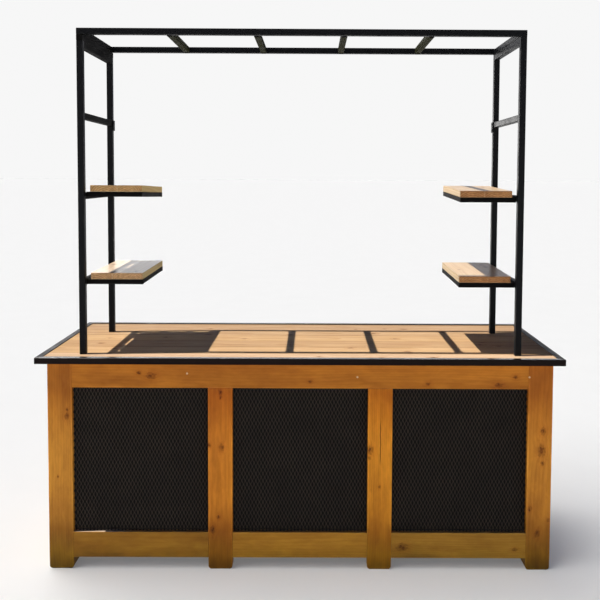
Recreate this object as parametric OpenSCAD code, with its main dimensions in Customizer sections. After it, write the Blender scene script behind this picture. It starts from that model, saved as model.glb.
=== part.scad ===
// Outdoor market stall: a panelled timber counter with a steel end frame at
// each end, two small shelves on each end frame, and an open roof frame above.
// X runs along the counter, -Y is the front, Z is up, the floor is Z = 0.
// All sizes in millimetres.

/* [Base] */
// Length of the timber base, outside to outside
base_l = 2008; // [1600:2:2600]
// Depth of the timber base, outside to outside
base_d = 632; // [520:2:900]
// Width of the visible face of the legs
leg_w = 98; // [70:1:120]
// Thickness of the rails and of the middle legs
rail_t = 45; // [28:1:60]
// Height of the top rails
top_rail_h = 105; // [70:1:140]
// Height of the bottom rails
bottom_rail_h = 105; // [70:1:140]
// Clear height of the feet below the bottom rails
foot_h = 47; // [20:1:100]
// Rounding of the leg corners
leg_r = 3; // [2:0.5:8]
// Thickness of the panels
panel_t = 12; // [6:1:18]
// Set-back of the panels behind the face of the legs
panel_set = 14; // [6:1:24]

/* [Counter] */
// Length of the counter, over the steel edging
counter_l = 2076; // [2040:2:2160]
// Depth of the counter, over the steel edging
counter_d = 720; // [660:2:980]
// Height of the steel edging above the floor
counter_h = 866; // [760:1:1100]
// Leg of the steel edge angle
angle_leg = 25; // [20:1:40]
// Thickness of the steel edge angle
angle_t = 3; // [2:0.5:5]

/* [End frames] */
// Square tube of the posts, rungs and roof
tube = 25; // [20:1:30]
// Length over the two end frames
frame_l = 1765; // [1500:5:1900]
// Depth over the front and back posts
frame_d = 455; // [440:5:560]
// Set-back of the front posts behind the counter's front edge
post_set = 72; // [40:1:110]
// Height of the middle of the mid rung above the floor
mid_rung_z = 1812; // [1700:1:1900]
// Thickness of the plates on the back posts
clip_t = 5; // [3:0.5:8]
// Height of the plates on the back posts
clip_h = 46; // [20:1:60]

/* [Roof] */
// Height of the top of the roof frame above the floor
roof_h = 2153; // [2080:1:2460]
// Height of the spacer that levels the roof on the lower left end frame
spacer_h = 25; // [10:1:60]
// Half the distance between the inner pair of cross bars
bar_in = 173; // [120:1:260]
// Half the distance between the outer pair of cross bars
bar_out = 517; // [400:1:700]
// Offset of the cross bars to the left of the middle
bar_shift = 5; // [0:1:20]

/* [Shelves] */
// Top of the lower left shelf board above the floor, at its middle
left_low_z = 1190; // [1100:1:1250]
// Top of the upper left shelf board above the floor, at its middle
left_high_z = 1533; // [1450:1:1600]
// Top of the lower right shelf board above the floor, at its middle
right_low_z = 1185; // [1100:1:1250]
// Top of the upper right shelf board above the floor, at its middle
right_high_z = 1530; // [1450:1:1600]
// Lean of the lower left shelf, in degrees, front edge down
left_low_lean = 0.9; // [-2.5:0.1:2.5]
// Lean of the upper left shelf
left_high_lean = -1.5; // [-2.5:0.1:2.5]
// Lean of the lower right shelf
right_low_lean = 1.6; // [-2.5:0.1:2.5]
// Lean of the upper right shelf
right_high_lean = 2.3; // [-2.5:0.1:2.5]
// Width of the shelf boards along the counter
shelf_w = 208; // [150:1:300]
// Depth of the shelf boards
shelf_d = 398; // [340:1:402]
// Thickness of the shelf boards
shelf_t = 26; // [18:1:40]
// Square tube of the frame under a shelf
shelf_tube = 20; // [16:1:24]
// Gap between a shelf board and the posts
shelf_gap = 15; // [8:1:40]
// Length of the plates that tie a shelf to its rung
tab_l = 96; // [20:1:110]
// Thickness of those plates
tab_t = 5; // [3:0.5:8]
// Distance of those plates from the middle of the shelf
tab_off = 113; // [60:1:130]

/* [Hidden] */
top_z = counter_h - angle_leg;               // top of the timber base
board_h = angle_leg - angle_t;               // thickness of the counter boards
board_top = top_z + board_h;
rail_l = base_l - 2 * leg_w;                 // clear length between corner legs
bay = (rail_l - 2 * leg_w) / 3;              // clear width of one front bay
end_l = base_d - 2 * leg_w;                  // clear depth between corner legs
panel_z = foot_h + bottom_rail_h;
panel_h = top_z - top_rail_h - panel_z;
post_x = frame_l / 2 - tube;                 // inner face of the posts
front_y = -counter_d / 2 + post_set;         // front face of the front posts
back_y = front_y + frame_d;                  // back face of the back posts
mid_y = (front_y + back_y) / 2;
rung_l = frame_d - 2 * tube;
board_out = post_x - shelf_gap;              // outer edge of the shelf boards
board_in = board_out - shelf_w;              // inner edge of the shelf boards
shelf_y = mid_y - shelf_d / 2;
roof_z = roof_h - tube;                      // underside of the roof frame
// Lower and upper shelf of each end: height of the top of the board, and lean
left_shelves = [[left_low_z, left_low_lean], [left_high_z, left_high_lean]];
right_shelves = [[right_low_z, right_low_lean], [right_high_z, right_high_lean]];
function shelves(sx) = sx > 0 ? right_shelves : left_shelves;
function post_top(sx) = sx > 0 ? roof_z : roof_z - spacer_h;
$fn = 32;

// Colours of the main materials
function oak() = [0.66, 0.40, 0.14];
function pale() = [0.80, 0.60, 0.38];
function black() = [0.05, 0.05, 0.055];

// Upright timber with rounded corners, standing on the floor
module upright(x, y, w, d, h) {
  translate([x, y, 0])
    linear_extrude(height = h)
      union() {
        translate([leg_r, 0]) square([w - 2 * leg_r, d]);
        translate([0, leg_r]) square([w, d - 2 * leg_r]);
        for (cx = [leg_r, w - leg_r], cy = [leg_r, d - leg_r])
          translate([cx, cy]) circle(r = leg_r);
      }
}

// Plain bar given by its low corner and its size
module bar(p, s) { translate(p) cube(s); }

// Corner legs run from the floor to the counter
module corner_leg(sx, sy) {
  color(oak())
    upright(sx > 0 ? base_l / 2 - leg_w : -base_l / 2,
            sy > 0 ? base_d / 2 - leg_w : -base_d / 2,
            leg_w, leg_w, top_z);
}
module front_left_leg() { corner_leg(-1, -1); }
module front_right_leg() { corner_leg(1, -1); }
module back_left_leg() { corner_leg(-1, 1); }
module back_right_leg() { corner_leg(1, 1); }

// Middle legs run from the floor to the underside of the top rail
module mid_legs(y) {
  color(oak())
    for (x = [-rail_l / 2 + bay, rail_l / 2 - bay - leg_w])
      upright(x, y, leg_w, rail_t, top_z - top_rail_h);
}
module front_mid_legs() { mid_legs(-base_d / 2); }
module back_mid_legs() { mid_legs(base_d / 2 - rail_t); }

// Long top rails sit between the corner legs
module long_top_rail(y) {
  color(oak()) bar([-rail_l / 2, y, top_z - top_rail_h], [rail_l, rail_t, top_rail_h]);
}
module front_top_rail() { long_top_rail(-base_d / 2); }
module back_top_rail() { long_top_rail(base_d / 2 - rail_t); }

// End top rails
module end_top_rail(x) {
  color(oak()) bar([x, -end_l / 2, top_z - top_rail_h], [rail_t, end_l, top_rail_h]);
}
module left_top_rail() { end_top_rail(-base_l / 2); }
module right_top_rail() { end_top_rail(base_l / 2 - rail_t); }

// Bottom rails, one in each bay
module bay_rails(y) {
  color(oak())
    for (i = [0:2])
      bar([-rail_l / 2 + i * (bay + leg_w), y, foot_h], [bay, rail_t, bottom_rail_h]);
}
module front_bottom_rails() { bay_rails(-base_d / 2); }
module back_bottom_rails() { bay_rails(base_d / 2 - rail_t); }
module end_bottom_rail(x) {
  color(oak()) bar([x, -end_l / 2, foot_h], [rail_t, end_l, bottom_rail_h]);
}
module left_bottom_rail() { end_bottom_rail(-base_l / 2); }
module right_bottom_rail() { end_bottom_rail(base_l / 2 - rail_t); }

// Dark panels, set back in the bays
module bay_panel(i, y) {
  color(black())
    bar([-rail_l / 2 + i * (bay + leg_w), y, panel_z], [bay, panel_t, panel_h]);
}
module front_left_panel() { bay_panel(0, -base_d / 2 + panel_set); }
module front_centre_panel() { bay_panel(1, -base_d / 2 + panel_set); }
module front_right_panel() { bay_panel(2, -base_d / 2 + panel_set); }
module back_panels() { for (i = [0:2]) bay_panel(i, base_d / 2 - panel_set - panel_t); }
module end_panel(x) {
  color(black()) bar([x, -end_l / 2, panel_z], [panel_t, end_l, panel_h]);
}
module left_panel() { end_panel(-base_l / 2 + panel_set); }
module right_panel() { end_panel(base_l / 2 - panel_set - panel_t); }

// Counter boards, laid inside the steel edging
module counter_boards() {
  color(pale())
    bar([-counter_l / 2 + angle_t, -counter_d / 2 + angle_t, top_z],
        [counter_l - 2 * angle_t, counter_d - 2 * angle_t, board_h]);
}

// Steel edge angles: one leg down the edge, the other over the boards
module long_angle(sy) {
  color(black())
    union() {
      bar([-counter_l / 2, sy > 0 ? counter_d / 2 - angle_t : -counter_d / 2, top_z],
          [counter_l, angle_t, angle_leg]);
      bar([-counter_l / 2, sy > 0 ? counter_d / 2 - angle_leg : -counter_d / 2, board_top],
          [counter_l, angle_leg, angle_t]);
    }
}
module front_edge_angle() { long_angle(-1); }
module back_edge_angle() { long_angle(1); }
module end_angle(sx) {
  color(black())
    union() {
      bar([sx > 0 ? counter_l / 2 - angle_t : -counter_l / 2, -counter_d / 2 + angle_leg, top_z],
          [angle_t, counter_d - 2 * angle_leg, angle_leg]);
      bar([sx > 0 ? counter_l / 2 - angle_t : -counter_l / 2, -counter_d / 2 + angle_t, top_z],
          [angle_t, counter_d - 2 * angle_t, board_h]);
      bar([sx > 0 ? counter_l / 2 - angle_leg : -counter_l / 2, -counter_d / 2 + angle_leg, board_top],
          [angle_leg, counter_d - 2 * angle_leg, angle_t]);
    }
}
module left_edge_angle() { end_angle(-1); }
module right_edge_angle() { end_angle(1); }

// Posts of the end frames stand on the counter boards
module post(sx, y) {
  color(black())
    bar([sx > 0 ? post_x : -post_x - tube, y, board_top], [tube, tube, post_top(sx) - board_top]);
}
module front_left_post() { post(-1, front_y); }
module front_right_post() { post(1, front_y); }
module back_left_post() { post(-1, back_y - tube); }
module back_right_post() { post(1, back_y - tube); }

// Rungs of an end frame: one at each shelf, a mid rung and a top rung
module rungs(sx) {
  color(black())
    for (z = [shelves(sx)[0][0] - shelf_t - tube, shelves(sx)[1][0] - shelf_t - tube,
              mid_rung_z - tube / 2, post_top(sx) - tube])
      bar([sx > 0 ? post_x : -post_x - tube, front_y + tube, z], [tube, rung_l, tube]);
}
module left_rungs() { rungs(-1); }
module right_rungs() { rungs(1); }

// Small plates on the inner faces of the back posts, at the mid rung
module back_post_clips() {
  color(black())
    for (x = [-post_x, post_x - clip_t])
      bar([x, back_y - tube, mid_rung_z + tube / 2 - clip_h], [clip_t, tube, clip_h]);
}

// Roof frame: long rails, cross bars with one at each end, and a spacer at the left end
module roof_long_rail(y) {
  color(black()) bar([-frame_l / 2, y, roof_z], [frame_l, tube, tube]);
}
module roof_front_rail() { roof_long_rail(front_y); }
module roof_back_rail() { roof_long_rail(back_y - tube); }
module roof_cross_bars() {
  color(black())
    for (x = [-post_x - tube / 2, -bar_out - bar_shift, -bar_in - bar_shift, bar_in - bar_shift, bar_out - bar_shift, post_x + tube / 2])
      bar([x - tube / 2, front_y + tube, roof_z], [tube, rung_l, tube]);
}
module left_roof_spacer() {
  color(black()) bar([-post_x - tube, front_y, post_top(-1)], [tube, frame_d, spacer_h]);
}

// A shelf and its frame lean together about the middle of the top of the board.
// Inside, Z = 0 is the underside of the board.
module lean(s) {
  translate([0, mid_y, s[0]]) rotate([s[1], 0, 0]) translate([0, -mid_y, -shelf_t]) children();
}

// Shelf boards
module shelf_board(sx, s) {
  color(pale())
    lean(s) bar([sx > 0 ? board_in : -board_out, shelf_y, 0], [shelf_w, shelf_d, shelf_t]);
}
module left_low_shelf_board() { shelf_board(-1, left_shelves[0]); }
module left_high_shelf_board() { shelf_board(-1, left_shelves[1]); }
module right_low_shelf_board() { shelf_board(1, right_shelves[0]); }
module right_high_shelf_board() { shelf_board(1, right_shelves[1]); }

// Bars under the front and back edge of each shelf, welded to its rung
module shelf_bars(sx) {
  color(black())
    for (s = shelves(sx)) lean(s)
      for (y = [shelf_y, shelf_y + shelf_d - shelf_tube])
        bar([sx > 0 ? board_in : -post_x, y, -shelf_tube],
            [post_x - board_in, shelf_tube, shelf_tube]);
}
module left_shelf_bars() { shelf_bars(-1); }
module right_shelf_bars() { shelf_bars(1); }

// Inner and outer ties between those bars
module shelf_ties(sx) {
  color(black())
    for (s = shelves(sx)) lean(s)
      for (x = [board_in, board_out - shelf_tube])
        bar([sx > 0 ? x : -x - shelf_tube, shelf_y + shelf_tube, -shelf_tube],
            [shelf_tube, shelf_d - 2 * shelf_tube, shelf_tube]);
}
module left_shelf_ties() { shelf_ties(-1); }
module right_shelf_ties() { shelf_ties(1); }

// Plates between the outer tie of a shelf and its rung
module shelf_tabs() {
  color(black())
    for (sx = [-1, 1], s = shelves(sx)) lean(s)
      for (y = [mid_y - tab_off, mid_y + tab_off])
        bar([sx > 0 ? board_out : -post_x, y - tab_l / 2, -(shelf_tube + tab_t) / 2],
            [shelf_gap, tab_l, tab_t]);
}

front_left_leg();
front_right_leg();
back_left_leg();
back_right_leg();
front_mid_legs();
back_mid_legs();
front_top_rail();
back_top_rail();
left_top_rail();
right_top_rail();
front_bottom_rails();
back_bottom_rails();
left_bottom_rail();
right_bottom_rail();
front_left_panel();
front_centre_panel();
front_right_panel();
back_panels();
left_panel();
right_panel();
counter_boards();
front_edge_angle();
back_edge_angle();
left_edge_angle();
right_edge_angle();
front_left_post();
front_right_post();
back_left_post();
back_right_post();
left_rungs();
right_rungs();
back_post_clips();
roof_front_rail();
roof_back_rail();
roof_cross_bars();
left_roof_spacer();
left_low_shelf_board();
left_high_shelf_board();
right_low_shelf_board();
right_high_shelf_board();
left_shelf_bars();
right_shelf_bars();
left_shelf_ties();
right_shelf_ties();
shelf_tabs();
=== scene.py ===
import math

import bpy
import numpy as np
from mathutils import Matrix, Vector


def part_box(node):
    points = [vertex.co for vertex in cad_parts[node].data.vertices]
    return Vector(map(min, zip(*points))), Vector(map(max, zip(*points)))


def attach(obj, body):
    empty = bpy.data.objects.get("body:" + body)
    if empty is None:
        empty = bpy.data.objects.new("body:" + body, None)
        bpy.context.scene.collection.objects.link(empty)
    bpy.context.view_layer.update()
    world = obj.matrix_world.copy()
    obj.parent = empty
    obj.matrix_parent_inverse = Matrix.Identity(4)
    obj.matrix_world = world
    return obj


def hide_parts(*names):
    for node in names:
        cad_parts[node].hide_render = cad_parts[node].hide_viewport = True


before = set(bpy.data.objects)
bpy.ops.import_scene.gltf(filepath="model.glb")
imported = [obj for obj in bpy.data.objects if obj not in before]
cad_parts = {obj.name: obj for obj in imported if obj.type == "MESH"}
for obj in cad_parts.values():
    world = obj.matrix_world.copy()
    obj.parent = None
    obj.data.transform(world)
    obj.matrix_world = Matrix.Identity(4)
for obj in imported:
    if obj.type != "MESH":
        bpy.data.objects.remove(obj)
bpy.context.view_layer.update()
scene = bpy.context.scene

stall = bpy.data.collections.new("stall")
stage = bpy.data.collections.new("stage")
scene.collection.children.link(stall)
scene.collection.children.link(stage)


# ---------------------------------------------------------------- mesh tools

def loose(node):
    """Corner points of each separate solid in a node."""
    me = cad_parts[node].data
    co = np.empty(len(me.vertices) * 3)
    me.vertices.foreach_get("co", co)
    co = co.reshape(-1, 3)
    _, first, inv = np.unique(np.round(co * 1e5).astype(np.int64), axis=0,
                              return_index=True, return_inverse=True)
    inv = np.ravel(inv)
    root = list(range(len(first)))

    def find(i):
        while root[i] != i:
            root[i] = root[root[i]]
            i = root[i]
        return i

    for p in me.polygons:
        ids = [find(inv[i]) for i in p.vertices]
        for i in ids[1:]:
            root[find(i)] = find(ids[0])
    groups = {}
    for i in range(len(first)):
        groups.setdefault(find(i), []).append(co[first[i]])
    return sorted((np.array(g) for g in groups.values()), key=lambda g: tuple(np.round(g.min(0), 4)))


def solids(node):
    """Boxes (low corner, high corner) of the separate solids in a node."""
    return [(g.min(0), g.max(0)) for g in loose(node)]


class Lean:
    """The small lean of a shelf, read from its board: turns points level, and back again."""

    def __init__(self, board):
        g, = loose(board)
        side = g[g[:, 0] < g[:, 0].mean()]
        side = side[np.argsort(side[:, 1])]
        front, back = (s[np.argmax(s[:, 2])] for s in (side[:2], side[2:]))
        self.angle = math.atan2(back[2] - front[2], back[1] - front[1])
        self.pivot = (front + back) / 2

    def turned(self, pts, angle):
        out = np.array(pts, float)
        y, z = out[:, 1] - self.pivot[1], out[:, 2] - self.pivot[2]
        out[:, 1] = self.pivot[1] + y * math.cos(angle) - z * math.sin(angle)
        out[:, 2] = self.pivot[2] + y * math.sin(angle) + z * math.cos(angle)
        return out

    def level(self, pts):
        return self.turned(pts, -self.angle)

    def back(self, pts):
        return self.turned(pts, self.angle)

    def box(self, pts):
        flat = self.level(pts)
        return flat.min(0), flat.max(0)


SHELVES = ("left_low_shelf_board", "left_high_shelf_board", "right_low_shelf_board", "right_high_shelf_board")
LEANS = {board: Lean(board) for board in SHELVES}


def lean_at(pts):
    """The lean of the shelf that a solid belongs to."""
    middle = np.mean(pts, 0)
    near = [k for k in SHELVES if k.startswith("left") == (middle[0] < 0)]
    return LEANS[min(near, key=lambda k: abs(LEANS[k].pivot[2] - middle[2]))]


KNOTS = ("kn1", "kn2", "kn3", "kn4", "kn5", "kn6")


class Piece:
    """Collects rounded solids with their wood coordinates and makes one object of them."""

    def __init__(self):
        self.v, self.f, self.uv = [], [], []
        self.att = {k: [] for k in ("wco", "tint") + KNOTS}
        self.edge = []
        self.n = 0

    def add(self, verts, faces, uvs, wco=None, tint=(1, 1, 1), knots=None, edge=None):
        count = len(verts)
        self.v.append(np.asarray(verts, float))
        self.f += [tuple(int(i) + self.n for i in f) for f in faces]
        self.uv += uvs
        self.att["wco"].append(verts if wco is None else wco)
        self.att["tint"].append(np.broadcast_to(np.asarray(tint, float), (count, 3)))
        for i, k in enumerate(KNOTS):
            if knots is not None and i < len(knots):
                self.att[k].append(knots[i])
            else:
                self.att[k].append(np.tile([9.0, 9.0, 0.01], (count, 1)))
        self.edge.append(np.zeros(count) if edge is None else edge)
        self.n += count

    def build(self, name, mats, nodes, slot, smooth=True, flat_deg=40):
        me = bpy.data.meshes.new(name)
        me.from_pydata(np.concatenate(self.v).tolist(), [], self.f)
        uv = me.uv_layers.new(name="OFBake")
        uv.data.foreach_set("uv", np.asarray(self.uv, np.float32).ravel())
        # metal needs no wood coordinates
        for k, parts in self.att.items() if slot in ("timber", "boards") else ():
            a = me.attributes.new(k, "FLOAT_VECTOR", "POINT")
            a.data.foreach_set("vector", np.concatenate(parts).astype(np.float32).ravel())
        a = me.attributes.new("edge", "FLOAT", "POINT")
        a.data.foreach_set("value", np.concatenate(self.edge).astype(np.float32))
        me.validate()
        if smooth:
            me.shade_smooth()
            me.set_sharp_from_angle(angle=math.radians(flat_deg))
        for m in mats if isinstance(mats, (list, tuple)) else [mats]:
            me.materials.append(m)
        ob = bpy.data.objects.new(name, me)
        stall.objects.link(ob)
        if smooth:
            w = ob.modifiers.new("even_normals", "WEIGHTED_NORMAL")
            w.keep_sharp = True
            w.weight = 60
        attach(ob, "root")
        if nodes:
            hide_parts(*nodes)
        return ob


def outline(hb, hc, r, seg, sub):
    """Rounded rectangle, counter-clockwise: points, outward normals, 1 on the rounded corners."""
    pts, nrm, on_edge = [], [], []
    corners = [(hb - r, -(hc - r), -90), (hb - r, hc - r, 0), (-(hb - r), hc - r, 90), (-(hb - r), -(hc - r), 180)]
    for i, (cb, cc, a0) in enumerate(corners):
        for k in range(seg + 1):
            a = math.radians(a0 + 90 * k / seg)
            pts.append((cb + r * math.cos(a), cc + r * math.sin(a)))
            nrm.append((math.cos(a), math.sin(a)))
            on_edge.append(1.0)
        nb, nc, _ = corners[(i + 1) % 4]
        a = math.radians(a0 + 90)
        p0 = np.array(pts[-1])
        p1 = np.array([nb + r * math.cos(a), nc + r * math.sin(a)])
        length = np.linalg.norm(p1 - p0)
        lead = min(0.0045, length * 0.2)
        for t in [lead] + [lead + (length - 2 * lead) * k / sub for k in range(1, sub)] + [length - lead]:
            pts.append(tuple(p0 + (p1 - p0) * (t / length)))
            nrm.append((math.cos(a), math.sin(a)))
            on_edge.append(0.0)
    return np.array(pts), np.array(nrm), np.array(on_edge)


def waves(rng, count, low, high):
    k = rng.uniform(low, high, (count, 3)) * rng.choice([-1, 1], (count, 3))
    ph = rng.uniform(0, 6.28, count)
    return lambda p: (np.sin(p @ k.T + ph).sum(1) / count) * 0.5 + 0.5


def loft(piece, lo, hi, axis, r=0.0025, seg=3, sub=4, step=0.05, ends=(None, None), wob=0.0, rng=None,
         pith=(0.0, 0.0), shift=0.0, tint=(1, 1, 1), knots=(), rows=(0.0, 1.0), foot_wob=0.0, lean=None, flat=1.0):
    """A rounded bar from lo to hi along an axis. ends are the rounding radii of its two ends. wob moves the surface inward.
    pith is where the middle of the tree lay, from the bar's own axis. knots: (along, across, axis of across, radius) in the frame.
    tint is one colour, or a function that gives each point its own. lean turns the finished bar with its shelf.
    flat is the share of the ends' rounding that the second cross axis gets."""
    lo, hi = np.asarray(lo, float), np.asarray(hi, float)
    g, b, c = axis, (axis + 1) % 3, (axis + 2) % 3
    mid, half = (lo + hi) / 2, (hi - lo) / 2
    length = hi[g] - lo[g]
    e0, e1 = (r if e is None else e for e in ends)
    n_end = 3
    t_in = []
    for k in range(n_end + 1):
        a = math.pi / 2 * k / n_end
        t_in.append((e0 * (1 - math.cos(a)), e0 * (1 - math.sin(a))))
    n_mid = max(1, int(round((length - e0 - e1) / step)))
    for k in range(1, n_mid):
        t_in.append((e0 + (length - e0 - e1) * k / n_mid, 0.0))
    for k in range(n_end, -1, -1):
        a = math.pi / 2 * k / n_end
        t_in.append((length - e1 * (1 - math.cos(a)), e1 * (1 - math.sin(a))))
    wave = waves(rng, 7, 3, 40) if wob else None
    small = waves(rng, 9, 60, 260) if foot_wob else None
    verts, wco, edges = [], [], []
    base_pts, _, on_edge = outline(half[b], half[c], r, seg, sub)
    n = len(base_pts)
    for t, inset in t_in:
        pts, nrm, _ = outline(half[b] - inset, half[c] - inset * flat, max(r - inset, 0.0003), seg, sub)
        p3 = np.zeros((n, 3))
        p3[:, g] = lo[g] + t
        p3[:, b] = mid[b] + pts[:, 0]
        p3[:, c] = mid[c] + pts[:, 1]
        w = np.zeros((n, 3))
        w[:, 0] = t + shift
        w[:, 1] = pts[:, 0] - pith[0]
        w[:, 2] = pts[:, 1] - pith[1]
        if wob:
            d = wave(p3) * wob
            d += on_edge * wave(p3 * 2.3 + 1.7) * wob * 1.2
            if foot_wob:
                d += small(p3) * foot_wob * max(0.0, 1 - t / 0.03)
            p3[:, b] -= nrm[:, 0] * d
            p3[:, c] -= nrm[:, 1] * d
            if foot_wob and inset > 0 and t < length / 2:
                p3[:, g] += small(p3 * 1.3 + 5) * foot_wob * (1 if t > 0 else 0.25)
        verts.append(p3)
        wco.append(w)
        edges.append(np.maximum(on_edge, 1.0 if inset > 1e-6 else 0.0))
    verts, wco, edges = np.concatenate(verts), np.concatenate(wco), np.concatenate(edges)
    around = np.concatenate([[0], np.cumsum(np.linalg.norm(np.roll(base_pts, -1, 0) - base_pts, axis=1))])
    around = around / around[-1]
    r0, r1 = rows
    faces, uvs = [], []
    for s in range(len(t_in) - 1):
        u0, u1 = 0.93 * t_in[s][0] / length, 0.93 * t_in[s + 1][0] / length
        for j in range(n):
            k = (j + 1) % n
            faces.append((s * n + j, s * n + k, (s + 1) * n + k, (s + 1) * n + j))
            v0, v1 = r0 + (r1 - r0) * around[j], r0 + (r1 - r0) * around[j + 1]
            uvs += [(u0, v0), (u0, v1), (u1, v1), (u1, v0)]
    last = (len(t_in) - 1) * n
    for order, part in ((list(range(n))[::-1], 0), ([last + j for j in range(n)], 1)):
        faces.append(tuple(order))
        for i in order:
            q = base_pts[i % n] / (2 * half[[b, c]]) + 0.5
            uvs.append((0.94 + 0.06 * q[0] * 0.98, r0 + (r1 - r0) * (part + 0.02 + 0.96 * q[1]) / 2))
    kn = []
    for along, across, ax, size in knots[:len(KNOTS)]:
        kn.append(np.stack([verts[:, g] - along, verts[:, ax] - across, np.full(len(verts), size)], 1))
    if callable(tint):
        tint = tint(verts)
    if lean is not None:
        verts = lean.back(verts)
    piece.add(verts, faces, uvs, wco, tint, kn, edges)


def fillet(poly, radii, seg=4):
    """Rounds the corners of a 2-D outline."""
    out = []
    for i, p in enumerate(poly):
        p = np.array(p, float)
        r = radii[i]
        if not r:
            out.append(p)
            continue
        a = np.array(poly[i - 1], float) - p
        b = np.array(poly[(i + 1) % len(poly)], float) - p
        a, b = a / np.linalg.norm(a), b / np.linalg.norm(b)
        half = math.acos(max(-1, min(1, a @ b))) / 2
        reach = r / math.tan(half)
        centre = p + (a + b) / np.linalg.norm(a + b) * (r / math.sin(half))
        s, e = p + a * reach - centre, p + b * reach - centre
        a0, a1 = math.atan2(s[1], s[0]), math.atan2(e[1], e[0])
        turn = (a1 - a0 + math.pi) % (2 * math.pi) - math.pi
        for k in range(seg + 1):
            t = a0 + turn * k / seg
            out.append(centre + r * np.array([math.cos(t), math.sin(t)]))
    return np.array(out)


def prism(piece, outline2, place, ts, rows=(0.0, 1.0)):
    """Sweeps an outline through stations. place(point, t) gives the 3-D point."""
    n = len(outline2)
    verts = np.array([place(p, t) for t in ts for p in outline2])
    faces, uvs = [], []
    around = np.concatenate([[0], np.cumsum(np.linalg.norm(np.roll(outline2, -1, 0) - outline2, axis=1))])
    around = around / around[-1]
    r0, r1 = rows
    span = ts[-1] - ts[0]
    for s in range(len(ts) - 1):
        u0, u1 = 0.95 * (ts[s] - ts[0]) / span, 0.95 * (ts[s + 1] - ts[0]) / span
        for j in range(n):
            k = (j + 1) % n
            faces.append((s * n + j, s * n + k, (s + 1) * n + k, (s + 1) * n + j))
            v0, v1 = r0 + (r1 - r0) * around[j], r0 + (r1 - r0) * around[j + 1]
            uvs += [(u0, v0), (u0, v1), (u1, v1), (u1, v0)]
    lo2, size2 = outline2.min(0), np.ptp(outline2, axis=0)
    for order, part in ((list(range(n))[::-1], 0), ([(len(ts) - 1) * n + j for j in range(n)], 1)):
        faces.append(tuple(order))
        for i in order:
            q = (outline2[i % n] - lo2) / size2
            uvs.append((0.955 + 0.04 * q[0], r0 + (r1 - r0) * (part + 0.02 + 0.96 * q[1]) / 2))
    # the faces look outward whichever way the outline turns
    middle = verts.mean(0)
    vol = 0.0
    for f in faces:
        p0 = verts[f[0]] - middle
        for i in range(1, len(f) - 1):
            vol += p0 @ np.cross(verts[f[i]] - middle, verts[f[i + 1]] - middle)
    if vol < 0:
        turned, k = [], 0
        for f in faces:
            turned += uvs[k:k + len(f)][::-1]
            k += len(f)
        faces, uvs = [f[::-1] for f in faces], turned
    piece.add(verts, faces, uvs)


# ---------------------------------------------------------------- materials

class Nodes:
    def __init__(self, name):
        self.mat = bpy.data.materials.new(name)
        self.mat.use_nodes = True
        self.tree = self.mat.node_tree
        self.tree.nodes.clear()
        self.out = self.add("ShaderNodeOutputMaterial")
        self.bsdf = self.add("ShaderNodeBsdfPrincipled")
        self.tree.links.new(self.bsdf.outputs[0], self.out.inputs[0])

    def add(self, kind, **kw):
        n = self.tree.nodes.new(kind)
        for k, v in kw.items():
            setattr(n, k, v)
        return n

    def put(self, sock, v):
        if isinstance(v, bpy.types.NodeSocket):
            self.tree.links.new(v, sock)
        else:
            sock.default_value = v

    def math(self, op, a, b=None, c=None):
        n = self.add("ShaderNodeMath", operation=op)
        for s, v in zip(n.inputs, (a, b, c)):
            if v is not None:
                self.put(s, v)
        return n.outputs[0]

    def vec(self, x, y, z):
        n = self.add("ShaderNodeCombineXYZ")
        for s, v in zip(n.inputs, (x, y, z)):
            self.put(s, v)
        return n.outputs[0]

    def sep(self, v):
        n = self.add("ShaderNodeSeparateXYZ")
        self.put(n.inputs[0], v)
        return n.outputs

    def attr(self, name, what="Vector"):
        return self.add("ShaderNodeAttribute", attribute_name=name).outputs[what]

    def place(self):
        return self.add("ShaderNodeTexCoord").outputs["Object"]

    def scaled(self, v, s):
        n = self.add("ShaderNodeVectorMath", operation="MULTIPLY")
        self.put(n.inputs[0], v)
        n.inputs[1].default_value = s
        return n.outputs[0]

    def noise(self, v, scale, detail=2.0, rough=0.5, dist=0.0):
        n = self.add("ShaderNodeTexNoise")
        self.put(n.inputs["Vector"], v)
        n.inputs["Scale"].default_value = scale
        n.inputs["Detail"].default_value = detail
        n.inputs["Roughness"].default_value = rough
        n.inputs["Distortion"].default_value = dist
        return n.outputs[0]

    def remap(self, x, a, b, c=0.0, d=1.0, smooth=False, clamp=True):
        n = self.add("ShaderNodeMapRange", clamp=clamp)
        if smooth:
            n.interpolation_type = "SMOOTHSTEP"
        for s, v in zip(n.inputs, (x, a, b, c, d)):
            self.put(s, v)
        return n.outputs[0]

    def mix(self, f, a, b, how="MIX"):
        n = self.add("ShaderNodeMix", data_type="RGBA", blend_type=how)
        self.put(n.inputs[0], f)
        self.put(n.inputs[6], a)
        self.put(n.inputs[7], b)
        return n.outputs[2]

    def ramp(self, f, stops):
        n = self.add("ShaderNodeValToRGB")
        self.put(n.inputs[0], f)
        e = n.color_ramp.elements
        while len(e) < len(stops):
            e.new(0.5)
        for el, (p, col) in zip(e, stops):
            el.position = p
            el.color = (*col, 1)
        return n.outputs[0]

    def bump(self, height, strength, distance, normal=None):
        n = self.add("ShaderNodeBump")
        n.inputs["Strength"].default_value = strength
        n.inputs["Distance"].default_value = distance
        self.put(n.inputs["Height"], height)
        if normal is not None:
            self.put(n.inputs["Normal"], normal)
        return n.outputs[0]


def grey(x):
    return (x, x, x, 1)


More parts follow.
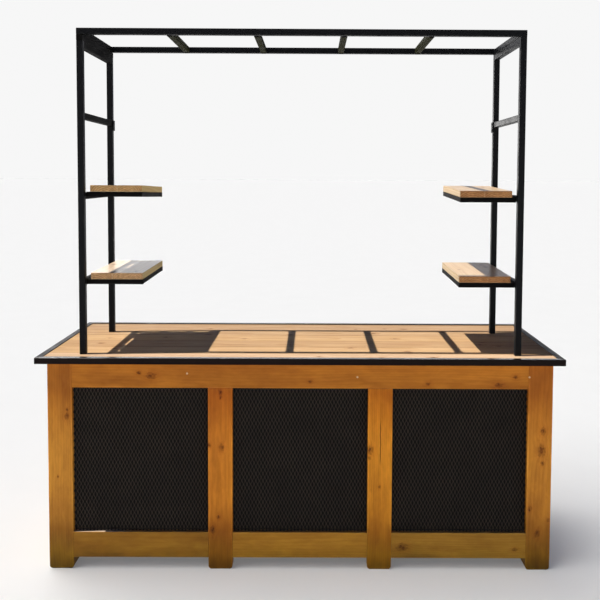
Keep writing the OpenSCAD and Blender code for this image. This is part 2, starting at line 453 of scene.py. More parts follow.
def wood(name, early, late, knot, spacing, ring_mix, blotch, streak, mottle=0.0, height_tone=None, edge=None, rough=(0.42, 0.6),
         crack=None, end_grain=None, ledge=None, top_rough=None, spec=0.2):
    """Softwood: growth rings round a pith, knots that the rings flow round, fibre streaks, uneven stain.
    height_tone is a colour ramp over the first 0.84 m of height, which on the legs also holds painted light and painted
    shade, end_grain darkens the sawn ends of boards that run along Y, ledge is the colour of pale dust on faces that
    look up, strongest at the left end where it is a painted patch of sunlight, top_rough the roughness of a varnished
    top."""
    g = Nodes(name)
    w = g.attr("wco")
    a, b, c = g.sep(w)
    far = g.noise(g.scaled(w, (1.4, 7.0, 7.0)), 1.0, 2.0, 0.5)
    near = g.noise(g.scaled(w, (7.0, 34.0, 34.0)), 1.0, 2.0, 0.55)
    dist = g.math("SQRT", g.math("ADD", g.math("MULTIPLY", b, b), g.math("MULTIPLY", c, c)))
    radius = g.math("ADD", dist, g.math("MULTIPLY", g.math("SUBTRACT", far, 0.5), 0.034))
    radius = g.math("ADD", radius, g.math("MULTIPLY", g.math("SUBTRACT", near, 0.5), 0.0052))
    radius = g.math("ADD", radius, g.math("MULTIPLY", a, 0.006))
    core = rim = halo = None
    ragged = g.noise(g.scaled(w, (75.0, 120.0, 120.0)), 1.0, 3.0, 0.65)
    for k in KNOTS:
        da, dt, size = g.sep(g.attr(k))
        da = g.math("MULTIPLY", da, 0.66)
        d = g.math("SQRT", g.math("ADD", g.math("MULTIPLY", da, da), g.math("MULTIPLY", dt, dt)))
        d = g.math("DIVIDE", d, size)
        d = g.math("ADD", d, g.math("MULTIPLY", g.math("SUBTRACT", near, 0.5), 0.9))
        d = g.math("ADD", d, g.math("MULTIPLY", g.math("SUBTRACT", ragged, 0.5), 2.4))
        one = g.remap(d, 0.40, 0.95, 1.0, 0.0, smooth=True)
        ring = g.remap(g.math("ABSOLUTE", g.math("SUBTRACT", d, 1.0)), 0.0, 0.45, 1.0, 0.0, smooth=True)
        pull = g.remap(d, 0.4, 3.6, 1.0, 0.0, smooth=True)
        radius = g.math("ADD", radius, g.math("MULTIPLY", pull, g.math("MULTIPLY", size, 0.9)))
        core = one if core is None else g.math("MAXIMUM", core, one)
        rim = ring if rim is None else g.math("MAXIMUM", rim, ring)
        halo = pull if halo is None else g.math("MAXIMUM", halo, pull)
    f = g.math("FRACT", g.math("DIVIDE", radius, spacing))
    up = g.remap(f, 0.25, 0.9, 0.0, 1.0, smooth=True)
    down = g.remap(f, 0.9, 1.0, 1.0, 0.0, smooth=True)
    latewood = g.math("MULTIPLY", up, down)
    fibre = g.noise(g.scaled(w, (9.0, 620.0, 620.0)), 1.0, 3.0, 0.6)
    broad = g.noise(g.scaled(w, (1.8, 60.0, 60.0)), 1.0, 2.0, 0.55)
    stain = g.noise(g.scaled(w, (2.6, 9.0, 9.0)), 1.0, 3.0, 0.55, 0.4)
    col = g.mix(g.math("MULTIPLY", latewood, ring_mix), (*early, 1), (*late, 1))
    shade = g.math("ADD", g.remap(stain, 0.25, 0.75, 1 - blotch, 1 + blotch),
                   g.math("ADD", g.remap(broad, 0.25, 0.75, -streak, streak), g.remap(fibre, 0.25, 0.75, -streak * 0.8, streak * 0.8)))
    if mottle:
        cloud = g.noise(g.scaled(w, (14.0, 42.0, 42.0)), 1.0, 4.0, 0.62, 0.3)
        shade = g.math("ADD", shade, g.remap(cloud, 0.28, 0.72, -mottle, mottle))
    tone = g.add("ShaderNodeCombineColor")
    g.put(tone.inputs[0], shade)
    g.put(tone.inputs[1], g.math("POWER", shade, 1.25))
    g.put(tone.inputs[2], g.math("POWER", shade, 1.4))
    col = g.mix(1.0, col, tone.outputs[0], "MULTIPLY")
    col = g.mix(1.0, col, g.attr("tint"), "MULTIPLY")
    # knots: a warm halo, a dark core and a darker ring round it
    col = g.mix(g.math("MULTIPLY", halo, 0.35), col, g.mix(1.0, col, (0.72, 0.52, 0.42, 1), "MULTIPLY"))
    col = g.mix(g.math("MULTIPLY", core, g.remap(ragged, 0.35, 0.65, 1.0, 0.45)), col, (*knot, 1))
    col = g.mix(g.math("MULTIPLY", rim, g.remap(fibre, 0.3, 0.7, 0.15, 0.6)), col, tuple(x * 0.55 for x in knot) + (1,))
    place = g.place()
    px, py, pz = g.sep(place)
    if end_grain is not None:
        ny = g.sep(g.add("ShaderNodeNewGeometry").outputs["Normal"])[1]
        sawn = g.remap(g.math("ABSOLUTE", ny), 0.5, 0.9, 0.0, 1.0, smooth=True)
        pores = g.noise(g.scaled(place, (110.0, 1.0, 150.0)), 1.0, 5.0, 0.68)
        soak = g.mix(g.remap(pores, 0.3, 0.7), tuple(x * 0.66 for x in end_grain) + (1,), tuple(x * 1.32 for x in end_grain) + (1,))
        soak = g.mix(g.math("MULTIPLY", latewood, 0.8), soak, g.mix(1.0, soak, (0.62, 0.50, 0.44, 1), "MULTIPLY"))
        col = g.mix(sawn, col, g.mix(1.0, col, soak, "MULTIPLY"))
    if edge is not None:
        # rounded edges take the edge colour: on the timber a lighter one that is wear and a painted highlight, on the
        # boards a darker one
        worn = g.math("MULTIPLY", g.attr("edge", "Fac"), g.remap(g.noise(place, 23.0, 3.0, 0.6), 0.35, 0.65, 0.15, 0.8))
        col = g.mix(worn, col, g.mix(1.0, col, (*edge, 1), "MULTIPLY"))
    if height_tone is not None:
        level = g.math("ADD", pz, g.math("MULTIPLY", g.math("SUBTRACT", g.noise(g.scaled(place, (9.0, 9.0, 4.0)), 1.0, 3.0, 0.6), 0.5), 0.08))
        col = g.mix(1.0, col, g.ramp(g.remap(level, 0.0, 0.84), height_tone), "MULTIPLY")
    if ledge is not None:
        nz = g.sep(g.add("ShaderNodeNewGeometry").outputs["Normal"])[2]
        lie = g.math("MULTIPLY", g.remap(nz, 0.6, 0.95, 0.0, 1.0, smooth=True), g.remap(cloud, 0.25, 0.6, 0.55, 0.95))
        # strongest at the left end, where the pale colour is a painted patch of sunlight
        lie = g.math("MULTIPLY", lie, g.remap(px, -0.76, -0.66, 1.0, 0.25, smooth=True))
        col = g.mix(lie, col, (*ledge, 1))
    height = g.math("ADD", g.math("MULTIPLY", latewood, 0.45), g.math("MULTIPLY", fibre, 0.5))
    if crack is not None:
        cx, z0, z1 = crack
        wander = g.math("MULTIPLY", g.math("SUBTRACT", g.noise(g.vec(0.0, 0.0, pz), 26.0, 3.0, 0.6), 0.5), 0.009)
        off = g.math("ABSOLUTE", g.math("SUBTRACT", g.math("SUBTRACT", px, cx), wander))
        inside = g.math("MULTIPLY", g.remap(pz, z0, z0 + 0.05, 0, 1, smooth=True), g.remap(pz, z1 - 0.05, z1, 1, 0, smooth=True))
        inside = g.math("MULTIPLY", inside, g.remap(py, -0.31, -0.30, 1, 0))
        line = g.math("MULTIPLY", g.remap(off, 0.0008, 0.0026, 1, 0, smooth=True), inside)
        col = g.mix(g.math("MULTIPLY", line, 0.85), col, tuple(x * 0.3 for x in knot) + (1,))
        height = g.math("SUBTRACT", height, g.math("MULTIPLY", line, 2.0))
    g.put(g.bsdf.inputs["Base Color"], col)
    matt = g.remap(g.math("ADD", g.math("MULTIPLY", fibre, 0.5), g.math("MULTIPLY", stain, 0.5)), 0.3, 0.7, rough[0], rough[1])
    if top_rough is not None:
        nz = g.sep(g.add("ShaderNodeNewGeometry").outputs["Normal"])[2]
        planed = g.remap(nz, 0.7, 0.95, 0.0, 1.0, smooth=True)
        matt = g.math("MULTIPLY", matt, g.remap(planed, 0.0, 1.0, 1.0, top_rough / rough[1]))
    g.put(g.bsdf.inputs["Roughness"], matt)
    g.bsdf.inputs["Specular IOR Level"].default_value = spec
    g.put(g.bsdf.inputs["Normal"], g.bump(height, 0.35, 0.0006))
    return g.mat


def steel(name, base, dust, rough=(0.34, 0.5), spec=0.10):
    """Satin black coating: fine orange peel, uneven gloss, a little dust where it can settle."""
    g = Nodes(name)
    p = g.place()
    cloud = g.noise(p, 9.0, 4.0, 0.6)
    speck = g.noise(p, 260.0, 2.0, 0.6)
    up = g.sep(g.add("ShaderNodeNewGeometry").outputs["Normal"])[2]
    lie = g.math("MULTIPLY", g.remap(up, 0.2, 0.9), g.remap(g.math("ADD", cloud, g.math("MULTIPLY", speck, 0.5)), 0.5, 1.0, 0.05, 0.6))
    col = g.mix(g.remap(cloud, 0.3, 0.7), (*[x * 0.8 for x in base], 1), (*[x * 1.25 for x in base], 1))
    rub = g.math("MULTIPLY", g.attr("edge", "Fac"), g.remap(g.noise(p, 31.0, 4.0, 0.65), 0.5, 0.72, 0.0, 0.5))
    col = g.mix(rub, col, (0.030, 0.029, 0.028, 1))
    col = g.mix(lie, col, (*dust, 1))
    g.put(g.bsdf.inputs["Base Color"], col)
    g.put(g.bsdf.inputs["Roughness"], g.math("ADD", g.remap(cloud, 0.3, 0.7, rough[0], rough[1]), g.math("MULTIPLY", lie, 0.2)))
    g.bsdf.inputs["Specular IOR Level"].default_value = spec
    g.put(g.bsdf.inputs["Normal"], g.bump(g.noise(p, 700.0, 2.0, 0.5), 0.12, 0.0004))
    return g.mat


def by_height(stops):
    return [(z / 0.84, colour) for z, colour in stops]


# the legs get darker and greener towards the feet, lighter half way up with painted light, and darker under the counter
# with painted shade
LEG_TONE_AND_PAINTED_SHADING = by_height([(0.0, (0.16, 0.21, 0.06)), (0.03, (0.24, 0.285, 0.08)), (0.067, (0.36, 0.435, 0.20)), (0.113, (0.40, 0.44, 0.31)),
                      (0.158, (0.50, 0.51, 0.41)), (0.218, (0.74, 0.78, 0.73)), (0.289, (0.87, 0.93, 0.90)), (0.369, (0.90, 0.96, 0.93)),
                      (0.509, (0.91, 0.95, 0.92)), (0.580, (0.83, 0.81, 0.73)), (0.640, (0.71, 0.64, 0.54)), (0.710, (0.595, 0.485, 0.38)),
                      (0.84, (0.55, 0.45, 0.34))])
# the bottom rails are greener and darker towards their lower edge
RAIL_TONE = by_height([(0.0, (0.30, 0.42, 0.34)), (0.047, (0.40, 0.54, 0.46)), (0.072, (0.50, 0.64, 0.51)), (0.098, (0.56, 0.70, 0.63)),
                       (0.149, (0.55, 0.68, 0.67)), (0.30, (0.77, 0.77, 0.77)), (0.84, (0.77, 0.77, 0.77))])
HONEY = ((0.709, 0.257, 0.0265), (0.527, 0.170, 0.0137), (0.150, 0.034, 0.003), 0.0085, 0.30, 0.22, 0.08, 0.125)
EDGE_WEAR_AND_HIGHLIGHT = (1.30, 1.42, 1.75)
LEDGE_DUST_AND_SUNLIGHT = (0.62, 0.48, 0.34)
timber_leg = wood("timber_leg", *HONEY, height_tone=LEG_TONE_AND_PAINTED_SHADING, edge=EDGE_WEAR_AND_HIGHLIGHT, spec=0.12)
timber_split = wood("timber_leg_split", *HONEY, height_tone=LEG_TONE_AND_PAINTED_SHADING, edge=EDGE_WEAR_AND_HIGHLIGHT, crack=(0.3201, 0.421, 0.625), spec=0.12)
timber_rail = wood("timber_rail", *HONEY, height_tone=RAIL_TONE, edge=EDGE_WEAR_AND_HIGHLIGHT, ledge=LEDGE_DUST_AND_SUNLIGHT, spec=0.12)
boards = wood("counter_pine", (0.560, 0.365, 0.195), (0.440, 0.245, 0.105), (0.160, 0.075, 0.030), 0.0068, 0.6, 0.09, 0.07,
              edge=(0.80, 0.74, 0.68), rough=(0.70, 0.84), spec=0.13)
shelf_wood = wood("shelf_pine", (0.750, 0.600, 0.425), (0.635, 0.445, 0.262), (0.260, 0.140, 0.060), 0.0072, 0.6, 0.08, 0.06,
                  edge=(0.85, 0.80, 0.74), rough=(0.70, 0.85), end_grain=(0.70, 0.47, 0.28), top_rough=0.34, spec=0.22)
black = steel("black_satin", (0.0045, 0.0047, 0.0058), (0.030, 0.028, 0.026), rough=(0.36, 0.5), spec=0.08)
black_matt = steel("black_matt", (0.0050, 0.0045, 0.0040), (0.030, 0.028, 0.026), rough=(0.55, 0.7), spec=0.03)
# black with an olive tint, a painted reflection of green ground light, for the undersides of the inner roof bars
black_painted_reflection = steel("black_painted_olive_reflection", (0.0190, 0.0195, 0.0055), (0.036, 0.034, 0.026), rough=(0.55, 0.7), spec=0.03)
edge_black = steel("black_edging", (0.0094, 0.0054, 0.0046), (0.040, 0.036, 0.033), rough=(0.30, 0.46), spec=0.05)
edge_semi = steel("black_edging_worn", (0.0085, 0.0070, 0.0068), (0.040, 0.036, 0.033), rough=(0.28, 0.42), spec=0.12)
edge_gloss = steel("black_edging_top", (0.0094, 0.0070, 0.0064), (0.030, 0.027, 0.025), rough=(0.12, 0.20), spec=0.5)
mesh_black = steel("expanded_metal", (0.0430, 0.0315, 0.0225), (0.060, 0.050, 0.042), rough=(0.45, 0.6), spec=0.12)


def backing():
    g = Nodes("panel_backing")
    p = g.place()
    n = g.noise(p, 60.0, 4.0, 0.65)
    col = g.mix(g.remap(n, 0.3, 0.7), (0.0045, 0.0040, 0.0036, 1), (0.0085, 0.0075, 0.0068, 1))
    g.put(g.bsdf.inputs["Base Color"], col)
    g.put(g.bsdf.inputs["Roughness"], g.remap(n, 0.3, 0.7, 0.7, 0.9))
    g.bsdf.inputs["Specular IOR Level"].default_value = 0.2
    g.put(g.bsdf.inputs["Normal"], g.bump(n, 0.2, 0.0006))
    return g.mat


def screw_zinc():
    g = Nodes("screw_zinc")
    p = g.place()
    n = g.noise(p, 900.0, 3.0, 0.6)
    g.put(g.bsdf.inputs["Base Color"], g.mix(g.remap(n, 0.3, 0.7), (0.52, 0.35, 0.16, 1), (0.75, 0.57, 0.32, 1)))
    g.bsdf.inputs["Metallic"].default_value = 0.25
    g.put(g.bsdf.inputs["Roughness"], g.remap(n, 0.3, 0.7, 0.3, 0.55))
    g.put(g.bsdf.inputs["Normal"], g.bump(n, 0.2, 0.0002))
    return g.mat


back_mat = backing()
zinc = screw_zinc()


# ---------------------------------------------------------------- timber base

def mm(*v):
    return tuple(x / 1000 for x in v)


# knots on the front, by piece: (along the grain, across it, axis of across, radius)
FRONT_KNOTS = {
    "front_top_rail": [(-0.640, 0.796, 2, 0.0055), (-0.592, 0.785, 2, 0.0105), (0.039, 0.764, 2, 0.0050), (0.506, 0.757, 2, 0.0060),
                       (0.787, 0.754, 2, 0.0075), (0.853, 0.785, 2, 0.0060)],
    "front_left_leg": [(0.622, -0.926, 0, 0.0080), (0.647, -0.925, 0, 0.0040), (0.376, -0.965, 0, 0.0030)],
    "front_right_leg": [(0.568, 0.968, 0, 0.0085), (0.490, 0.962, 0, 0.0125), (0.436, 0.968, 0, 0.0050), (0.252, 0.919, 0, 0.0070),
                        (0.150, 0.952, 0, 0.0080), (0.206, 0.995, 0, 0.0050)],
    "front_mid_legs": [[(0.719, -0.317, 0, 0.0060), (0.699, -0.317, 0, 0.0042), (0.497, -0.313, 0, 0.0075), (0.162, -0.348, 0, 0.0090),
                        (0.506, -0.363, 0, 0.0050), (0.214, -0.326, 0, 0.0045)],
                       [(0.489, 0.279, 0, 0.0105), (0.457, 0.277, 0, 0.0045), (0.339, 0.318, 0, 0.0040)]],
    "front_bottom_rails": [[], [], [(0.409, 0.093, 2, 0.0125), (0.863, 0.084, 2, 0.0060)]],
}
# tone of each piece against the others
TONE = {
    "front_top_rail": [(0.855, 0.80, 0.72)], "front_left_leg": [(0.976, 1.063, 1.30)], "front_right_leg": [(0.98, 0.984, 1.083)],
    "front_mid_legs": [(1.06, 0.93, 0.80), (1.24, 1.22, 0.86)],
    "front_bottom_rails": [(0.86, 0.85, 0.85), (1.08, 1.09, 1.07), (0.88, 0.93, 1.06)],
}
TIMBER = [("front_left_leg", 2), ("front_right_leg", 2), ("back_left_leg", 2), ("back_right_leg", 2),
          ("front_mid_legs", 2), ("back_mid_legs", 2),
          ("front_top_rail", 0), ("back_top_rail", 0), ("left_top_rail", 1), ("right_top_rail", 1),
          ("front_bottom_rails", 0), ("back_bottom_rails", 0), ("left_bottom_rail", 1), ("right_bottom_rail", 1)]

for number, (node, axis) in enumerate(TIMBER):
    parts = solids(node)
    piece = Piece()
    for i, (lo, hi) in enumerate(parts):
        rng = np.random.RandomState(100 + number * 10 + i)
        size = hi - lo
        b, c = (axis + 1) % 3, (axis + 2) % 3
        leg = axis == 2
        # the pith lies off the piece's own axis, so that its faces show different grain
        angle = rng.uniform(0, 2 * math.pi)
        reach = rng.uniform(0.05, 0.11)
        pith = (reach * math.cos(angle), reach * math.sin(angle))
        kn = FRONT_KNOTS.get(node)
        if kn is None:
            wide = b if size[b] >= size[c] else c
            kn = [(rng.uniform(lo[axis] + 0.06, hi[axis] - 0.06), rng.uniform(lo[wide] + 0.015, hi[wide] - 0.015), wide, rng.uniform(0.004, 0.011))
                  for _ in range(3)]
        elif isinstance(kn[0], list):
            kn = kn[i]
        tones = TONE.get(node, [(1.0, 0.98, 1.0)])
        tone = np.array(tones[i % len(tones)]) * rng.uniform(0.98, 1.02)
        ends = (0.0120, 0.0008) if leg else (0.0006, 0.0006)
        loft(piece, lo, hi, axis, r=0.0026, seg=3, sub=4, step=0.045, ends=ends, wob=0.0004, rng=rng, pith=pith,
             shift=rng.uniform(0, 40), tint=tone, knots=kn, rows=(i / len(parts) + 0.004, (i + 1) / len(parts) - 0.004),
             foot_wob=0.0022 if leg else 0.0, flat=0.25 if leg else 1.0)
    finish = timber_split if node == "front_mid_legs" else timber_leg if axis == 2 else timber_rail
    piece.build(node + "_timber", finish, [node], "timber")


# ---------------------------------------------------------------- counter boards and shelf boards

(lo, hi), = solids("counter_boards")
SEAMS = [lo[1], -0.258, -0.142, -0.025, 0.090, 0.206, 0.322, hi[1]]
# tone of each counter board from front to back; the pale bluish tint of the front board is a painted sheen
BOARD_TONE_AND_FRONT_SHEEN = [(1.18, 1.27, 1.50), (1.06, 1.05, 1.02), (0.93, 0.91, 0.90), (1.06, 1.06, 1.03), (0.95, 0.95, 0.97), (0.89, 0.90, 0.98), (0.86, 0.87, 0.94)]
piece = Piece()
for i in range(len(SEAMS) - 1):
    rng = np.random.RandomState(400 + i)
    gap = 0.0007
    a = np.array([lo[0], SEAMS[i] + (gap if i else 0), lo[2]])
    b = np.array([hi[0], SEAMS[i + 1] - (gap if i < len(SEAMS) - 2 else 0), hi[2]])
    wide = b[1] - a[1]
    kn = [(rng.uniform(-0.95, 0.95), rng.uniform(a[1] + 0.012, b[1] - 0.012), 1, rng.uniform(0.004, 0.009)) for _ in range(4)] if wide > 0.05 else []
    loft(piece, a, b, 0, r=0.0016, seg=3, sub=4, step=0.06, ends=(0.001, 0.001), wob=0.0003, rng=rng,
         pith=(rng.uniform(-0.03, 0.03), -rng.uniform(0.045, 0.09)), shift=rng.uniform(0, 40), tint=BOARD_TONE_AND_FRONT_SHEEN[i], knots=kn,
         rows=(i / 7 + 0.002, (i + 1) / 7 - 0.002))
piece.build("counter_deck_boards", boards, ["counter_boards"], "boards")

# each shelf: its tone, that of its sawn front, the painted shade on its inner edge, and where the joint between its two
# boards lies
SHELF_TONE_AND_EDGE_SHADE = {"left_low_shelf_board": ((1.0, 1.02, 1.06), (1.20, 1.36, 1.50), (0.74, 0.72, 0.46), 0.41),
              "left_high_shelf_board": ((1.0, 1.02, 0.95), (1.20, 1.38, 1.52), (0.82, 0.72, 0.44), 0.52),
              "right_low_shelf_board": ((0.96, 0.88, 0.78), (1.0, 1.0, 1.0), (0.84, 0.90, 0.92), 0.56),
              "right_high_shelf_board": ((1.0, 0.93, 0.84), (1.0, 1.0, 1.0), (0.92, 0.96, 0.96), 0.47)}
for number, (node, (tone, sawn, inner, share)) in enumerate(SHELF_TONE_AND_EDGE_SHADE.items()):
    lean = LEANS[node]
    lo, hi = lean.box(loose(node)[0])
    piece = Piece()
    cut = lo[0] + (hi[0] - lo[0]) * share

    def shelf_tint(v, lo=lo, hi=hi, sawn=sawn, inner=inner, tone=tone):
        out = np.tile(np.array(tone), (len(v), 1))
        out[v[:, 1] < lo[1] + 0.001] *= sawn
        # painted shade darkens the inner edge
        out[(v[:, 0] > hi[0] - 0.001) if hi[0] < 0 else (v[:, 0] < lo[0] + 0.001)] *= inner
        return out

    for i, (x0, x1) in enumerate(((lo[0], cut + 0.0003), (cut - 0.0003, hi[0]))):
        rng = np.random.RandomState(500 + number * 10 + i)
        kn = [(rng.uniform(lo[1] + 0.05, hi[1] - 0.05), rng.uniform(x0 + 0.02, x1 - 0.02), 0, rng.uniform(0.004, 0.008)) for _ in range(1 + i)]
        loft(piece, (x0, lo[1], lo[2]), (x1, hi[1], hi[2]), 1, r=0.0006, seg=3, sub=4, step=0.04, ends=(0.0018, 0.0018), wob=0.0003, rng=rng,
             pith=(-rng.uniform(0.03, 0.07), rng.uniform(-0.03, 0.03)), shift=rng.uniform(0, 40), tint=shelf_tint, knots=kn,
             rows=(i / 2 + 0.004, (i + 1) / 2 - 0.004), lean=lean)
    piece.build(node + "_planks", shelf_wood, [node], "boards")


# ---------------------------------------------------------------- steel edging of the counter

e_lo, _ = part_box("front_edge_angle")
_, e_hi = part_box("back_edge_angle")
X, Y = e_hi[0], e_hi[1]
Z0, Z1 = e_lo[2], e_hi[2]
LEG, T = 0.025, 0.003
section = fillet([(0, Z0), (0, Z1), (LEG, Z1), (LEG, Z1 - T), (T, Z1 - T), (T, Z0)],
                 [0.0007, 0.0022, 0.0012, 0.0005, 0, 0.0005], 4)
MITRE = 0.0002


def gloss_on_top(ob):
    """The top of the edging is rubbed, and polished along the front by hands and sleeves."""
    for p in ob.data.polygons:
        if p.normal.z > 0.5:
            p.material_index = 1


for name, sign in (("front_edge_angle", -1), ("back_edge_angle", 1)):
    piece = Piece()

    def place(p, t, sign=sign):
        x = t * (X - p[0] - MITRE if abs(t) == 1 else X)
        return (x, sign * (Y - p[0]), p[1])

    prism(piece, section, place, [-1, -0.96, -0.6, -0.2, 0.2, 0.6, 0.96, 1])
    gloss_on_top(piece.build(name + "_steel", [edge_black, edge_gloss if sign < 0 else edge_semi], [name], "black_steel"))
for name, sign in (("left_edge_angle", -1), ("right_edge_angle", 1)):
    piece = Piece()

    def place(p, t, sign=sign):
        y = t * (Y - p[0] - MITRE if abs(t) == 1 else Y)
        return (sign * (X - p[0]), y, p[1])

    prism(piece, section, place, [-1, -0.92, -0.5, 0, 0.5, 0.92, 1])
    gloss_on_top(piece.build(name + "_steel", [edge_black, edge_semi], [name], "black_steel"))


# ---------------------------------------------------------------- square tube frames

TUBES = ["front_left_post", "front_right_post", "back_left_post", "back_right_post", "left_rungs", "right_rungs",
         "roof_front_rail", "roof_back_rail", "roof_cross_bars", "left_roof_spacer",
         "left_shelf_bars", "right_shelf_bars", "left_shelf_ties", "right_shelf_ties", "shelf_tabs", "back_post_clips"]
for node in TUBES:
    parts = loose(node)
    piece = Piece()
    for i, pts in enumerate(parts):
        lean = lean_at(pts) if "shelf" in node else None
        lo, hi = lean.box(pts) if lean else (pts.min(0), pts.max(0))
        size = hi - lo
        axis = int(np.argmax(size))
        thin = min(size) < 0.015
        loft(piece, lo, hi, axis, r=0.0008 if thin else 0.0026, seg=2 if thin else 4, sub=2, step=0.12,
             ends=(0.0006, 0.0006), rows=(i / len(parts) + 0.001, (i + 1) / len(parts) - 0.001), lean=lean)
    matt = "shelf" in node or node in ("left_rungs", "left_roof_spacer", "roof_cross_bars")
    finish = [black_matt if matt else black]
    if node == "roof_cross_bars":
        finish += [black, black_painted_reflection]
    ob = piece.build(node + "_steel", finish, [node], "black_steel")
    if node == "roof_cross_bars":
        # the undersides of the inner cross bars take the olive painted reflection
        for p in ob.data.polygons:
            p.material_index = 1 if p.center.x > 0.8 else 2 if p.center.x > -0.8 and p.normal.z < 0.3 else 0


def bead(piece, p0, p1, n1, n2, size, rng, lean=None):
    """A small weld fillet along p0-p1 in the corner between faces that look along n1 and n2."""
    p0, p1, n1, n2 = (np.asarray(x, float) for x in (p0, p1, n1, n2))
    count = 11
    section = [(0, 0), (1, 0), (0.80, 0.34), (0.60, 0.60), (0.34, 0.80), (0, 1)]
    verts, faces, uvs = [], [], []
    for s in range(count):
        t = s / (count - 1)
        swell = size * (0.82 + 0.18 * math.cos(s * 2.1 + rng.uniform(-0.5, 0.5))) * (0.55 if s in (0, count - 1) else 1)
        centre = p0 + (p1 - p0) * t
        for a, b in section:
            verts.append(centre + n1 * a * swell + n2 * b * swell)
    m = len(section)
    for s in range(count - 1):
        for j in range(m):
            k = (j + 1) % m
            faces.append((s * m + j, s * m + k, (s + 1) * m + k, (s + 1) * m + j))
            uvs += [(s / count, j / m), (s / count, (j + 1) / m), ((s + 1) / count, (j + 1) / m), ((s + 1) / count, j / m)]
    faces += [tuple(range(m))[::-1], tuple((count - 1) * m + j for j in range(m))]
    uvs += [(0.97 + 0.02 * a, 0.02 * b) for a, b in section[::-1]] + [(0.97 + 0.02 * a, 0.5 + 0.02 * b) for a, b in section]
    if np.dot(np.cross(n1, n2), p1 - p0) < 0:
        turned, k = [], 0
        for f in faces:
            turned += uvs[k:k + len(f)][::-1]
            k += len(f)
        faces, uvs = [f[::-1] for f in faces], turned
    verts = np.array(verts)
    piece.add(lean.back(verts) if lean else verts, faces, uvs)


rng = np.random.RandomState(7)
for side in ("left", "right"):
    piece = Piece()
    rungs = solids(side + "_rungs")
    post_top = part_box("front_" + side + "_post")[1][2]
    for lo, hi in rungs:
        for y, d in ((lo[1], 1), (hi[1], -1)):
            for z, up in ((lo[2], -1), (hi[2], 1)):
                if z < post_top - 0.001:
                    bead(piece, (lo[0] + 0.002, y, z), (hi[0] - 0.002, y, z), (0, d, 0), (0, 0, up), 0.0042, rng)
    inner = 1 if side == "left" else -1
    for pts in loose(side + "_shelf_bars"):
        lean = lean_at(pts)
        lo, hi = lean.box(pts)
        x = lo[0] if side == "left" else hi[0]
        for z, up in ((lo[2], -1), (hi[2], 1)):
            # only where the bar's edge lies on the face of the rung
            level = lean.back([(x, (lo[1] + hi[1]) / 2, z)])[0][2]
            if any(r[0][2] + 0.004 < level + 0.004 * up < r[1][2] for r in rungs):
                bead(piece, (x, lo[1] + 0.002, z), (x, hi[1] - 0.002, z), (inner, 0, 0), (0, 0, up), 0.0036, rng, lean)
    piece.build(side + "_frame_welds", black, [], "black_steel")
piece = Piece()
for lo, hi in solids("roof_cross_bars"):
    last = max(abs(lo[0]), abs(hi[0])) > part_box("roof_front_rail")[1][0] - 0.001
    for y, d in ((lo[1], 1), (hi[1], -1)):
        if not last:
            bead(piece, (lo[0] + 0.002, y, lo[2]), (hi[0] - 0.002, y, lo[2]), (0, d, 0), (0, 0, -1), 0.0042, rng)
        for x, out in ((lo[0], -1), (hi[0], 1)):
            if not last or x * out < 0:
                bead(piece, (x, y, lo[2] + 0.002), (x, y, hi[2] - 0.002), (0, d, 0), (out, 0, 0), 0.0040, rng)
piece.build("roof_frame_welds", black, [], "black_steel")


# ---------------------------------------------------------------- screws

def screw(piece, at, normal, radius):
    """A low countersunk head with a square socket, standing on the surface at a point."""
    n = np.asarray(normal, float)
    u = np.cross(n, (0, 0, 1) if abs(n[2]) < 0.9 else (1, 0, 0))
    v = np.cross(n, u)
    rings = [(1.0, 0.0), (0.96, 0.10), (0.70, 0.20), (0.44, 0.22), (0.40, -0.12)]
    m = 20
    verts, faces, uvs = [], [], []
    for rr, h in rings:
        for k in range(m):
            a = 2 * math.pi * k / m
            q = rr * radius
            if rr < 0.45:
                q *= 0.80 / max(abs(math.cos(a)), abs(math.sin(a))) * 0.9
            verts.append(np.asarray(at) + (u * math.cos(a) + v * math.sin(a)) * q + n * h * radius)
    for s in range(len(rings) - 1):
        for k in range(m):
            j = (k + 1) % m
            faces.append((s * m + k, s * m + j, (s + 1) * m + j, (s + 1) * m + k))
    faces.append(tuple((len(rings) - 1) * m + k for k in range(m)))
    faces.append(tuple(range(m))[::-1])
    verts = np.array(verts)
    rel = verts - np.asarray(at)
    flat = np.stack([rel @ u, rel @ v], 1) / radius * 0.48 + 0.5
    for f in faces:
        uvs += [tuple(flat[i]) for i in f]
    piece.add(verts, faces, uvs)


piece = Piece()
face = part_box("front_top_rail")[0][1]
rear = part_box("back_top_rail")[1][1]
for x, z in ((-0.449, 0.795), (0.226, 0.783), (0.909, 0.785)):
    screw(piece, (x, face, z), (0, -1, 0), 0.0040)
    screw(piece, (-x, rear, z), (0, 1, 0), 0.0040)
piece.build("rail_screws", zinc, [], "timber")
piece = Piece()
for lo, hi in solids("back_post_clips"):
    inner = 1 if lo[0] < 0 else -1
    x = hi[0] if inner == 1 else lo[0]
    for z in (lo[2] + 0.009, hi[2] - 0.009):
        screw(piece, (x, (lo[1] + hi[1]) / 2, z), (inner, 0, 0), 0.0045)
piece.build("clip_screws", black, [], "black_steel")


# ---------------------------------------------------------------- panels of expanded metal

